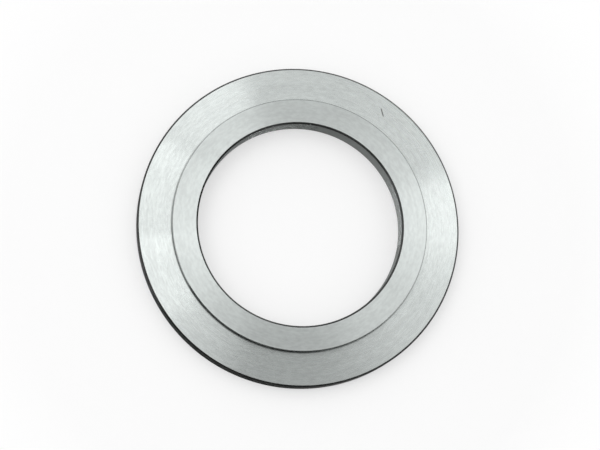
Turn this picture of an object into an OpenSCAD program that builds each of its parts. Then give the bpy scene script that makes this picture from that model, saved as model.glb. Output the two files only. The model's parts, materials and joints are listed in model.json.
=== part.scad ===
// Shouldered ring washer, turned in one piece.
// A flat flange carries a raised land round a plain bore. The land centres the washer
// in a hole, and the flange bears on the face round that hole.
// Millimetres, +Z up along the bore. The origin is the centre of the flat base.

/* [Flange] */
// Outside diameter of the flange
flange_d = 57; // [55:0.5:90]
// Thickness of the flange
flange_t = 2.8; // [1.5:0.1:8]

/* [Land] */
// Outside diameter of the raised land
land_d = 45; // [42:0.5:52]
// Height of the land above the flange
land_h = 1.2; // [0.8:0.1:5]

/* [Bore] */
// Diameter of the bore
bore_d = 36; // [20:0.5:39]

/* [Edges] */
// Leg of the 45 degree chamfer on the rim's two edges
rim_chamfer = 0.3; // [0.1:0.05:0.6]
// Leg of the 45 degree chamfer on the land's outer edge
land_chamfer = 0.15; // [0.05:0.05:0.5]
// Leg of the 45 degree chamfer at both ends of the bore
bore_chamfer = 0.3; // [0.1:0.05:0.6]
// Radius that the tool's nose leaves in the corner between land and flange
root_r = 0.2; // [0.1:0.05:0.5]

/* [Hidden] */

flange_r = flange_d / 2;
land_r = land_d / 2;
bore_r = bore_d / 2;
total_h = flange_t + land_h;
// The root fillet ends below the chamfer on the same wall
root_fillet_r = min(root_r, land_h - land_chamfer);
turned_fn = 180;

// Half section of the ring with its edges broken and the land's root still sharp
module ring_section() {
    polygon([
        [bore_r + bore_chamfer, 0],
        [flange_r - rim_chamfer, 0],
        [flange_r, rim_chamfer],
        [flange_r, flange_t - rim_chamfer],
        [flange_r - rim_chamfer, flange_t],
        [land_r, flange_t],
        [land_r, total_h - land_chamfer],
        [land_r - land_chamfer, total_h],
        [bore_r + bore_chamfer, total_h],
        [bore_r, total_h - bore_chamfer],
        [bore_r, bore_chamfer],
    ]);
}

// Concave fillet between the land's wall and the flange
module root_fillet_section() {
    translate([land_r, flange_t])
        difference() {
            square(root_fillet_r);
            translate([root_fillet_r, root_fillet_r])
                circle(r = root_fillet_r, $fn = turned_fn);
        }
}

module washer() {
    color("silver")
        rotate_extrude($fn = turned_fn) {
            ring_section();
            root_fillet_section();
        }
}

washer();
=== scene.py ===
import json
import math

import bpy
from mathutils import Matrix, Vector


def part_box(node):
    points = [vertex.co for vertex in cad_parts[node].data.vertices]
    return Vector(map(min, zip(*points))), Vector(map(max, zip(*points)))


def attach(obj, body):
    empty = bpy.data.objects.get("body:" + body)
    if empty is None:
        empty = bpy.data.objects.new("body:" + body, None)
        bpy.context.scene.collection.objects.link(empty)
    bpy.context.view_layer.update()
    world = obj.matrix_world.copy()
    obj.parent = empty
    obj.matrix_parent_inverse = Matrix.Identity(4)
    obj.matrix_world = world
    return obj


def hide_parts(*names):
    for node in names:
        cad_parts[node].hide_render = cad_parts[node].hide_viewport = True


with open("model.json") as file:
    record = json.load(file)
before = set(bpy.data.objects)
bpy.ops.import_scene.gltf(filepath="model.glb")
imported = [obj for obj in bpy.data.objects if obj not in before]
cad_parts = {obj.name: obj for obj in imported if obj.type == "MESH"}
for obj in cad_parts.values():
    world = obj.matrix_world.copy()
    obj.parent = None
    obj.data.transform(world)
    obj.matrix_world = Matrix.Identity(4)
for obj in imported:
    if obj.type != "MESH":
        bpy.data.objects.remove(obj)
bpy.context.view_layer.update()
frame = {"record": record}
mounts = {m["name"]: m for m in frame["record"]["mounts"]}
mm = 0.001
print("frame loaded")


def frameSizes(corner, bore, spigot, shoulder, base):
    # bore and spigot end at the edge breaks and the root, and the base's mount is at its middle
    boreR = bore["dims"]["r_mm"] * mm
    boreBreak = (corner.z - bore["dims"]["length_mm"] * mm) / 2
    sideMiddle = spigot["pos_m"][2]
    sideHalf = spigot["dims"]["length_mm"] * mm / 2
    flangeTop = shoulder["pos_m"][2]
    return {
        "rimR": corner.x,
        "landR": spigot["dims"]["r_mm"] * mm,
        "boreR": boreR,
        "flangeTop": flangeTop,
        "landTop": corner.z,
        "rimBreak": corner.x + boreR + boreBreak - 2 * base["pos_m"][0],
        "boreBreak": boreBreak,
        "landBreak": corner.z - sideMiddle - sideHalf,
        "rootR": sideMiddle - sideHalf - flangeTop,
    }


# washer: the part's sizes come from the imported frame, the mesh's own are set here
mountNames = ("bore", "land_spigot", "shoulder_face", "base_face")
washer = {
    **frameSizes(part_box("washer")[1], *(mounts[name] for name in mountNames)),
    "softEdgeR": 0.05 * mm,  # rounding on the corners of each edge break
    "softSteps": 4,
    "rootSteps": 8,
    "ringSegments": 384,
    "maxSpan": 0.7 * mm,  # longest stretch between two rings of the mesh
}


def sectionCorners(w):
    # corner, its radius and steps, the finish of its arc and of the stretch that follows
    rim, land, hole = w["rimR"], w["landR"], w["boreR"]
    top, flange = w["landTop"], w["flangeTop"]
    rb, lb, bb = w["rimBreak"], w["landBreak"], w["boreBreak"]
    soft = (w["softEdgeR"], w["softSteps"])
    root = (w["rootR"], w["rootSteps"])
    return [
        ((hole + bb, 0.0), soft, "edge", "flange"),
        ((rim - rb, 0.0), soft, "edge", "edge"),
        ((rim, rb), soft, "edge", "wall"),
        ((rim, flange - rb), soft, "edge", "edge"),
        ((rim - rb, flange), soft, "edge", "flange"),
        ((land, flange), root, "lip", "wall"),
        ((land, top - lb), soft, "lip", "lip"),
        ((land - lb, top), soft, "lip", "land"),
        ((hole + bb, top), soft, "edge", "edge"),
        ((hole, top - bb), soft, "edge", "bore"),
        ((hole, bb), soft, "edge", "edge"),
    ]


def roundCorner(before, corner, after, radius, steps):
    # points and outward normals along the arc that rounds one corner of the section
    inDir = (corner - before).normalized()
    outDir = (after - corner).normalized()
    turn = inDir.x * outDir.y - inDir.y * outDir.x
    angle = inDir.angle(outDir)
    back = radius * math.tan(angle / 2)
    side = 1.0 if turn > 0 else -1.0
    centre = corner - inDir * back + side * radius * Vector((-inDir.y, inDir.x))
    startNormal = Vector((inDir.y, -inDir.x))
    points = []
    for i in range(steps + 1):
        normal = Matrix.Rotation(side * angle * i / steps, 2) @ startNormal
        points.append((centre + side * radius * normal, normal))
    return points


def turnedSection(w):
    # closed loop of (point, normal, finish of the stretch that follows)
    corners = sectionCorners(w)
    loop = []
    for i, (corner, (radius, steps), arcFinish, nextFinish) in enumerate(corners):
        before = Vector(corners[i - 1][0])
        after = Vector(corners[(i + 1) % len(corners)][0])
        arc = roundCorner(before, Vector(corner), after, radius, steps)
        loop += [(point, normal, arcFinish) for point, normal in arc[:-1]]
        loop.append((*arc[-1], nextFinish))
    filled = []
    for i, (point, normal, finish) in enumerate(loop):
        nextPoint = loop[(i + 1) % len(loop)][0]
        parts = math.ceil((nextPoint - point).length / w["maxSpan"])
        for k in range(parts):
            filled.append((point.lerp(nextPoint, k / parts), normal, finish))
    return filled


def addMesh(name, verts, faces):
    mesh = bpy.data.meshes.new(name)
    mesh.from_pydata(verts, [], faces)
    mesh.polygons.foreach_set("use_smooth", [True] * len(faces))
    mesh.update()
    piece = bpy.data.objects.new(name, mesh)
    bpy.context.scene.collection.objects.link(piece)
    return piece


def turnOnLathe(name, section, segments, finishes):
    rings = len(section)
    verts, normals, faces, slots = [], [], [], []
    for k in range(segments):
        a = 2 * math.pi * k / segments
        x, y = math.cos(a), math.sin(a)
        here, there = k * rings, (k + 1) % segments * rings
        for i, (point, normal, finish) in enumerate(section):
            n = (i + 1) % rings
            verts.append((point.x * x, point.x * y, point.y))
            normals.append((normal.x * x, normal.x * y, normal.y))
            faces.append((here + i, there + i, there + n, here + n))
            slots.append(finishes.index(finish))
    piece = addMesh(name, verts, faces)
    piece.data.polygons.foreach_set("material_index", slots)
    piece.data.normals_split_custom_set_from_vertices(normals)
    return piece


finishes = ["flange", "land", "wall", "bore", "edge", "lip"]
ring = turnOnLathe("turned_washer", turnedSection(washer), washer["ringSegments"], finishes)
print("washer turned:", len(ring.data.polygons), "faces")


# node helpers
def plug(tree, socket, value):
    # a number or a tuple is set, anything else is linked
    if isinstance(value, (int, float, tuple)):
        socket.default_value = value
    else:
        tree.links.new(value, socket)


def operate(tree, kind, operation, values):
    node = tree.nodes.new(kind)
    node.operation = operation
    for socket, value in zip(node.inputs, values):
        plug(tree, socket, value)
    return node


def mathNode(tree, operation, *values):
    return operate(tree, "ShaderNodeMath", operation, values).outputs["Value"]


def vectorNode(tree, operation, *values):
    return operate(tree, "ShaderNodeVectorMath", operation, values).outputs["Vector"]


def remap(tree, value, fromLow, fromHigh, toLow, toHigh):
    node = tree.nodes.new("ShaderNodeMapRange")
    node.interpolation_type = "SMOOTHSTEP"
    for socket, v in zip(node.inputs, (value, fromLow, fromHigh, toLow, toHigh)):
        plug(tree, socket, v)
    return node.outputs["Result"]


def blendColor(tree, factor, first, second):
    node = tree.nodes.new("ShaderNodeMix")
    node.data_type = "RGBA"
    plug(tree, node.inputs["Factor"], factor)
    for socket, color in zip((s for s in node.inputs if s.type == "RGBA"), (first, second)):
        plug(tree, socket, color)
    return next(s for s in node.outputs if s.type == "RGBA")


def noiseNode(tree, vector, detail):
    # one noise cell to a unit of the vector
    node = tree.nodes.new("ShaderNodeTexNoise")
    node.inputs["Scale"].default_value = 1.0
    node.inputs["Detail"].default_value = detail
    plug(tree, node.inputs["Vector"], vector)
    return node.outputs["Fac"]


def newGroup(name, inputs, outputs):
    group = bpy.data.node_groups.new(name, "ShaderNodeTree")
    for label in inputs:
        group.interface.new_socket(label, in_out="INPUT", socket_type="NodeSocketFloat")
    for label, kind in outputs.items():
        group.interface.new_socket(label, in_out="OUTPUT", socket_type=kind)
    return group, group.nodes.new("NodeGroupInput"), group.nodes.new("NodeGroupOutput")


def placeGroup(tree, group, **values):
    node = tree.nodes.new("ShaderNodeGroup")
    node.node_tree = group
    for label, value in values.items():
        plug(tree, node.inputs[label], value)
    return node


# marks that the tool leaves: rows to a turn of feed, patches round the ring, detail,
# and each layer's share in the groove and in the tone
markLayers = {
    "fine": {"rows": 1.0, "patches": 0.6, "detail": 2.0, "Groove": 0.5, "Tone": 0.0},
    "band": {"rows": 0.22, "patches": 0.4, "detail": 2.0, "Groove": 0.5, "Tone": 0.25},
    "cloud": {"rows": 0.05, "patches": 2.0, "detail": 3.0, "Groove": 0.0, "Tone": 0.25},
    "grain": {"rows": 0.45, "patches": 20.0, "detail": 2.0, "Groove": 0.0, "Tone": 0.5},
}
markMiddle = 0.5  # the middle of the marks' values
markSpread = (0.35, 0.65)  # most of them lie between these


def makeToolMarks(layers):
    # Across runs over the cut, Angle along it, and Feed is the tool's step for each turn
    group, start, end = newGroup(
        "toolMarks",
        ["Across", "Angle", "Feed"],
        {"Groove": "NodeSocketFloat", "Tone": "NodeSocketFloat"},
    )
    turns = mathNode(group, "DIVIDE", start.outputs["Across"], start.outputs["Feed"])
    roundX = mathNode(group, "COSINE", start.outputs["Angle"])
    roundY = mathNode(group, "SINE", start.outputs["Angle"])
    total = {"Groove": 0.0, "Tone": 0.0}
    for s in layers.values():
        point = group.nodes.new("ShaderNodeCombineXYZ")
        plug(group, point.inputs["X"], mathNode(group, "MULTIPLY", turns, s["rows"]))
        plug(group, point.inputs["Y"], mathNode(group, "MULTIPLY", roundX, s["patches"]))
        plug(group, point.inputs["Z"], mathNode(group, "MULTIPLY", roundY, s["patches"]))
        level = noiseNode(group, point.outputs["Vector"], s["detail"])
        for label in total:
            if s[label]:
                total[label] = mathNode(group, "MULTIPLY_ADD", level, s[label], total[label])
    for label, level in total.items():
        plug(group, end.inputs[label], level)
    return group


def makeGrooveLean():
    # the grooves are saw-toothed: their flanks lean away from the bore, some more than others
    group, start, end = newGroup("grooveLean", ["Groove", "Lean", "Swing"], {"Normal": "NodeSocketVector"})
    coords = group.nodes.new("ShaderNodeTexCoord")
    flat = vectorNode(group, "MULTIPLY", coords.outputs["Object"], (1.0, 1.0, 0.0))
    outward = vectorNode(group, "NORMALIZE", flat)
    offset = mathNode(group, "SUBTRACT", start.outputs["Groove"], markMiddle)
    slope = mathNode(group, "MULTIPLY_ADD", offset, start.outputs["Swing"], start.outputs["Lean"])
    scaled = group.nodes.new("ShaderNodeVectorMath")
    scaled.operation = "SCALE"
    plug(group, scaled.inputs["Vector"], outward)
    plug(group, scaled.inputs["Scale"], slope)
    geometry = group.nodes.new("ShaderNodeNewGeometry")
    leaning = vectorNode(group, "ADD", geometry.outputs["Normal"], scaled.outputs["Vector"])
    plug(group, end.inputs["Normal"], vectorNode(group, "NORMALIZE", leaning))
    return group


# faint scratches from handling: headings in radians, and noise cells to a metre
hairLayers = {
    "headings": (0.4, 1.3, 2.5),
    "alongScale": 90.0,
    "acrossScale": 3600.0,
    "detail": 1.0,
    "shown": (0.70, 0.80),  # the noise's top end draws the lines
}


def makeHairlines(s):
    group, start, end = newGroup("hairlines", ["Amount"], {"Mask": "NodeSocketFloat"})
    coords = group.nodes.new("ShaderNodeTexCoord")
    total = 0.0
    for heading in s["headings"]:
        place = group.nodes.new("ShaderNodeMapping")
        place.inputs["Rotation"].default_value = (0.0, 0.0, heading)
        place.inputs["Scale"].default_value = (s["alongScale"], s["acrossScale"], s["alongScale"])
        plug(group, place.inputs["Vector"], coords.outputs["Object"])
        level = noiseNode(group, place.outputs["Vector"], s["detail"])
        line = remap(group, level, *s["shown"], 0.0, 1.0)
        total = mathNode(group, "MAXIMUM", total, line)
    plug(group, end.inputs["Mask"], mathNode(group, "MULTIPLY", total, start.outputs["Amount"]))
    return group


toolMarks = makeToolMarks(markLayers)
grooveLean = makeGrooveLean()
hairlines = makeHairlines(hairLayers)
print("shader groups made")


def newMaterial(name):
    mat = bpy.data.materials.new(name)
    mat.use_nodes = True
    return mat, mat.node_tree, mat.node_tree.nodes["Principled BSDF"]


def newMetal(name, s):
    # bare metal, its gloss drawn out across the cut
    mat, tree, shader = newMaterial(name)
    shader.inputs["Metallic"].default_value = 1.0
    shader.inputs["Anisotropic"].default_value = s["anisotropic"]
    shader.inputs["Anisotropic Rotation"].default_value = 0.25  # a quarter turn, from along to across
    tangent = tree.nodes.new("ShaderNodeTangent")
    tangent.direction_type = "RADIAL"
    tangent.axis = "Z"
    plug(tree, shader.inputs["Tangent"], tangent.outputs["Tangent"])
    return mat, tree, shader


def spotInMm(tree):
    # X, Y and Z of the shaded spot, in millimetres from the middle of the base
    coords = tree.nodes.new("ShaderNodeTexCoord")
    spot = tree.nodes.new("ShaderNodeSeparateXYZ")
    plug(tree, spot.inputs["Vector"], vectorNode(tree, "DIVIDE", coords.outputs["Object"], (mm, mm, mm)))
    return spot.outputs


def axisDistance(tree, spot):
    xSquare = mathNode(tree, "MULTIPLY", spot["X"], spot["X"])
    return mathNode(tree, "SQRT", mathNode(tree, "MULTIPLY_ADD", spot["Y"], spot["Y"], xSquare))


def placeMarks(tree, across, spot, s):
    angle = mathNode(tree, "ARCTAN2", spot["Y"], spot["X"])
    return placeGroup(tree, toolMarks, Across=across, Angle=angle, Feed=s["feed"])


# the tone of a finish; on the walls, bore, edges and lip it also carries painted shade
def finishAndShadeColor(tree, marks, s):
    share = remap(tree, marks.outputs["Tone"], *markSpread, 0.0, 1.0)
    return blendColor(tree, share, s["dark"], s["light"])


def finishRoughness(tree, marks, s):
    return remap(tree, marks.outputs["Groove"], *markSpread, s["roughLow"], s["roughHigh"])


# faced metal: the flat faces
flangeFinish = {
    "dark": (0.56, 0.591, 0.580, 1),
    "light": (0.65, 0.688, 0.674, 1),
    "roughLow": 0.23,
    "roughHigh": 0.29,
    "anisotropic": 1.0,
    "feed": 0.16,  # millimetres to a turn
    "lean": 0.16,  # slope of the groove flanks
    "swing": 0.16,  # how much that slope varies
    "hairAmount": 0.25,
    "hairRough": 0.2,
    "hairDepth": 0.001 * mm,
    "nick": {
        "from": (14.6, 21.9),  # millimetres from the axis
        "to": (15.1, 20.0),
        "width": 0.15,
        "depth": 12.0,  # in hairline depths
        "color": (0.16, 0.16, 0.16, 1),
    },
}
landFinish = dict(
    flangeFinish,
    roughLow=0.28,
    roughHigh=0.34,
    feed=0.19,
    lean=0.05,
    swing=0.22,
    nick=None,
)


def nickMask(tree, spot, s):
    # one short scratch between two points, fading over its ends and sides
    ax, ay = s["from"]
    bx, by = s["to"]
    length = math.hypot(bx - ax, by - ay)
    ux, uy = (bx - ax) / length, (by - ay) / length
    px = mathNode(tree, "SUBTRACT", spot["X"], ax)
    py = mathNode(tree, "SUBTRACT", spot["Y"], ay)
    run = mathNode(tree, "MULTIPLY_ADD", px, ux, mathNode(tree, "MULTIPLY", py, uy))
    off = mathNode(tree, "MULTIPLY_ADD", px, -uy, mathNode(tree, "MULTIPLY", py, ux))
    middle = mathNode(tree, "ABSOLUTE", mathNode(tree, "SUBTRACT", run, length / 2))
    ends = remap(tree, middle, length / 4, length / 2, 1.0, 0.0)
    sides = remap(tree, mathNode(tree, "ABSOLUTE", off), s["width"] / 3, s["width"], 1.0, 0.0)
    return mathNode(tree, "MULTIPLY", ends, sides)


def makeFacedMetal(name, s):
    mat, tree, shader = newMetal(name, s)
    spot = spotInMm(tree)
    marks = placeMarks(tree, axisDistance(tree, spot), spot, s)
    scratches = placeGroup(tree, hairlines, Amount=s["hairAmount"]).outputs["Mask"]
    color = finishAndShadeColor(tree, marks, s)
    dents = scratches
    if s["nick"]:
        nick = nickMask(tree, spot, s["nick"])
        color = blendColor(tree, nick, color, s["nick"]["color"])
        dents = mathNode(tree, "MULTIPLY_ADD", nick, s["nick"]["depth"], scratches)
    grooves = placeGroup(
        tree, grooveLean, Groove=marks.outputs["Groove"], Lean=s["lean"], Swing=s["swing"]
    )
    bump = tree.nodes.new("ShaderNodeBump")
    bump.invert = True
    bump.inputs["Distance"].default_value = s["hairDepth"]
    plug(tree, bump.inputs["Height"], dents)
    plug(tree, bump.inputs["Normal"], grooves.outputs["Normal"])
    rough = mathNode(tree, "MULTIPLY_ADD", scratches, s["hairRough"], finishRoughness(tree, marks, s))
    plug(tree, shader.inputs["Base Color"], color)
    plug(tree, shader.inputs["Roughness"], rough)
    plug(tree, shader.inputs["Normal"], bump.outputs["Normal"])
    return mat


# turned walls: the rim and the land's side are smooth, the bore is rougher; the walls are coloured darker
# than the faces and the bore darker still, as painted shade for their dark reflections
wallFinishAndPaintedShade = {
    "dark": (0.40, 0.42, 0.41, 1),
    "light": (0.47, 0.49, 0.48, 1),
    "glancing": (0.04, 0.04, 0.04, 1),  # near-black tint of the gloss at a glancing view, painted shade for the walls' dark reflection
    "roughLow": 0.12,
    "roughHigh": 0.20,
    "anisotropic": 0.6,
    "feed": 0.12,
    "markDepth": 0.002 * mm,
}
boreFinishAndPaintedShade = dict(
    wallFinishAndPaintedShade,
    # the bore's darker colour is painted shade for the dark reflection inside it; its roughness is its own
    dark=(0.24, 0.252, 0.247, 1),
    light=(0.30, 0.315, 0.309, 1),
    roughLow=0.40,
    roughHigh=0.50,
    anisotropic=0.95,
    markDepth=0.0005 * mm,
)


def makeTurnedWall(name, s):
    mat, tree, shader = newMetal(name, s)
    shader.inputs["Specular Tint"].default_value = s["glancing"]
    spot = spotInMm(tree)
    marks = placeMarks(tree, spot["Z"], spot, s)
    bump = tree.nodes.new("ShaderNodeBump")
    bump.inputs["Distance"].default_value = s["markDepth"]
    plug(tree, bump.inputs["Height"], marks.outputs["Groove"])
    plug(tree, shader.inputs["Base Color"], finishAndShadeColor(tree, marks, s))
    plug(tree, shader.inputs["Roughness"], finishRoughness(tree, marks, s))
    plug(tree, shader.inputs["Normal"], bump.outputs["Normal"])
    return mat


# broken edges: near black at the rim and the bore, lighter at the land's lip and root but still darker than
# the faces; both are painted shade for the edges' dark reflections
edgeFinishAndPaintedShade = {
    "dark": (0.035, 0.036, 0.0355, 1),
    "light": (0.08, 0.082, 0.081, 1),
    "roughLow": 0.20,
    "roughHigh": 0.30,
    "anisotropic": 0.5,
    "feed": 0.05,
}
lipFinishAndPaintedShade = dict(
    edgeFinishAndPaintedShade,
    # the lip's and the root's darker colour is painted shade along the step
    dark=(0.34, 0.357, 0.349, 1),
    light=(0.44, 0.465, 0.457, 1),
    roughLow=0.12,
    roughHigh=0.18,
)


def makeBrokenEdge(name, s):
    mat, tree, shader = newMetal(name, s)
    spot = spotInMm(tree)
    marks = placeMarks(tree, spot["Z"], spot, s)
    plug(tree, shader.inputs["Base Color"], finishAndShadeColor(tree, marks, s))
    plug(tree, shader.inputs["Roughness"], finishRoughness(tree, marks, s))
    return mat


materials = {
    "flange": makeFacedMetal("facedFlange", flangeFinish),
    "land": makeFacedMetal("facedLand", landFinish),
    "wall": makeTurnedWall("turnedWallPaintedShade", wallFinishAndPaintedShade),
    "bore": makeTurnedWall("boredWallPaintedShade", boreFinishAndPaintedShade),
    "edge": makeBrokenEdge("brokenEdgePaintedShade", edgeFinishAndPaintedShade),
    "lip": makeBrokenEdge("landLipPaintedShade", lipFinishAndPaintedShade),
}
for finish in finishes:
    ring.data.materials.append(materials[finish])
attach(ring, "root")
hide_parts("washer")
print("materials on")


def compassPoint(angle, rise, away=1.0):
    # by compass angle in the picture (0 is right, 90 is up), rise above the floor and distance
    a, e = math.radians(angle), math.radians(rise)
    return away * Vector((math.cos(e) * math.cos(a), math.cos(e) * math.sin(a), math.sin(e)))


# stage: a pale floor that curves up into a low round backdrop
stage = {
    "flatR": 0.55,
    "sweepR": 0.15,
    "wallH": 0.22,
    "flatSteps": 4,
    "sweepSteps": 12,
    "segments": 96,
    "color": (0.93, 0.93, 0.93, 1),
    "nearWhite": 0.5,  # share of plain white that the camera sees near the washer, for a light shadow
    "whiteFrom": 32.0,  # millimetres from the axis: the floor whitens from here
    "whiteTo": 70.0,  # and is plain white from here, in mirrored rays too
}


def makePaleFloor(s):
    mat, tree, shader = newMaterial("paleFloor")
    shader.inputs["Base Color"].default_value = s["color"]
    shader.inputs["Roughness"].default_value = 1.0
    shader.inputs["Specular IOR Level"].default_value = 0.0
    far = remap(tree, axisDistance(tree, spotInMm(tree)), s["whiteFrom"], s["whiteTo"], 0.0, 1.0)
    path = tree.nodes.new("ShaderNodeLightPath")
    mirrored = mathNode(tree, "MAXIMUM", path.outputs["Is Glossy Ray"], path.outputs["Is Transmission Ray"])
    direct = mathNode(tree, "MULTIPLY", path.outputs["Is Camera Ray"], s["nearWhite"])
    seen = mathNode(tree, "MAXIMUM", path.outputs["Is Camera Ray"], mirrored)
    share = mathNode(tree, "MAXIMUM", direct, mathNode(tree, "MULTIPLY", seen, far))
    white = tree.nodes.new("ShaderNodeEmission")
    mix = tree.nodes.new("ShaderNodeMixShader")
    for socket, value in zip(mix.inputs, (share, shader.outputs["BSDF"], white.outputs["Emission"])):
        plug(tree, socket, value)
    plug(tree, tree.nodes["Material Output"].inputs["Surface"], mix.outputs["Shader"])
    return mat


def makeSweep(s):
    outline = [(s["flatR"] * i / s["flatSteps"], 0.0) for i in range(s["flatSteps"])]
    for i in range(s["sweepSteps"] + 1):
        a = math.pi / 2 * i / s["sweepSteps"]
        outline.append((s["flatR"] + s["sweepR"] * math.sin(a), s["sweepR"] * (1 - math.cos(a))))
    outline.append((s["flatR"] + s["sweepR"], s["wallH"]))
    verts, faces = [], []
    n = len(outline)
    for k in range(s["segments"]):
        a = 2 * math.pi * k / s["segments"]
        verts += [(r * math.cos(a), r * math.sin(a), z) for r, z in outline]
        here, there = k * n, (k + 1) % s["segments"] * n
        faces += [(here + i, here + i + 1, there + i + 1, there + i) for i in range(n - 1)]
    sweep = addMesh("sweep", verts, faces)
    sweep.data.materials.append(makePaleFloor(s))


# flag: dark curved cards before the front of the backdrop, which the front edges mirror
flag = {
    "cards": [(205.0, 290.0, 0.17), (290.0, 345.0, 0.09)],  # compass from and to, and height
    "away": 0.5,
    "segments": 24,
    "color": (0.03, 0.03, 0.03, 1),
}


def makeFlag(s):
    verts, faces = [], []
    for start, end, top in s["cards"]:
        first = len(verts)
        for k in range(s["segments"] + 1):
            foot = compassPoint(start + (end - start) * k / s["segments"], 0.0, s["away"])
            verts += [(foot.x, foot.y, 0.0), (foot.x, foot.y, top)]
        for k in range(first, first + 2 * s["segments"], 2):
            faces.append((k, k + 1, k + 3, k + 2))
    card = addMesh("flag", verts, faces)
    mat, _, shader = newMaterial("darkCard")
    shader.inputs["Base Color"].default_value = s["color"]
    shader.inputs["Roughness"].default_value = 1.0
    card.data.materials.append(mat)
    card.visible_camera = False  # it shows only in reflections


makeSweep(stage)
makeFlag(flag)


# lamps: soft boxes that face the washer, all as far away and as high as each other
lamps = {
    "away": 0.9,
    "height": 0.5,
    "boxes": {
        "leftBack": {"angle": 149, "rise": 50, "width": 0.45, "power": 0.70},
        "leftFront": {"angle": 184, "rise": 55, "width": 0.32, "power": 0.59},
        "leftLow": {"angle": 221, "rise": 58, "width": 0.40, "power": 0.36},
        "topStrip": {"angle": 108, "rise": 50, "width": 0.30, "power": 0.35},
        "rightStrip": {"angle": 20, "rise": 48, "width": 0.26, "power": 0.33},
    },
}


def makeLamps(s):
    for name, box in s["boxes"].items():
        light = bpy.data.lights.new(name, "AREA")
        light.shape = "RECTANGLE"
        light.size = box["width"]
        light.size_y = s["height"]
        light.energy = box["power"]
        lamp = bpy.data.objects.new(name, light)
        lamp.location = compassPoint(box["angle"], box["rise"], s["away"])
        lamp.rotation_euler = (-lamp.location).to_track_quat("-Z", "Y").to_euler()
        bpy.context.scene.collection.objects.link(lamp)


# room: even light, darker above the front
room = {
    "light": 0.97,
    "dark": 0.26,
    "darkSide": compassPoint(276.0, 55.0),
    "darkFrom": 0.77,  # cosine of the angle from the dark side
    "darkTo": 0.98,
}


def makeRoom(s):
    world = bpy.data.worlds.new("room")
    bpy.context.scene.world = world
    world.use_nodes = True
    tree = world.node_tree
    coords = tree.nodes.new("ShaderNodeTexCoord")
    toDark = operate(
        tree, "ShaderNodeVectorMath", "DOT_PRODUCT", (coords.outputs["Generated"], tuple(s["darkSide"]))
    )
    level = remap(tree, toDark.outputs["Value"], s["darkFrom"], s["darkTo"], s["light"], s["dark"])
    background = tree.nodes["Background"]
    background.inputs["Color"].default_value = (1, 1, 1, 1)
    plug(tree, background.inputs["Strength"], level)


makeLamps(lamps)
makeRoom(room)
print("stage and lamps set")


# camera: the photograph's viewing angle and distance, on a longer lens
camera = {
    "angle": 235.0,
    "rise": 75.9,
    "away": 5.58 * 2 * washer["rimR"],  # 5.58 outside diameters
    "lens": 108.0,
    "sensor": 36.0,
    "clipStart": 0.01,
    "aim": Vector((0, 0, washer["flangeTop"])),
    "up": Vector((0, 1, 0)),  # upwards in the picture
}


def makeCamera(s):
    cam = bpy.data.cameras.new("camera")
    cam.lens = s["lens"]
    cam.sensor_width = s["sensor"]
    cam.clip_start = s["clipStart"]
    eye = bpy.data.objects.new("camera", cam)
    eye.location = compassPoint(s["angle"], s["rise"], s["away"])
    look = (s["aim"] - eye.location).normalized()
    right = look.cross(s["up"]).normalized()
    axes = Matrix((right, right.cross(look), -look)).transposed()
    eye.rotation_euler = axes.to_euler()
    bpy.context.scene.collection.objects.link(eye)
    bpy.context.scene.camera = eye


makeCamera(camera)
bpy.context.scene.view_settings.view_transform = "Standard"
print("camera set")
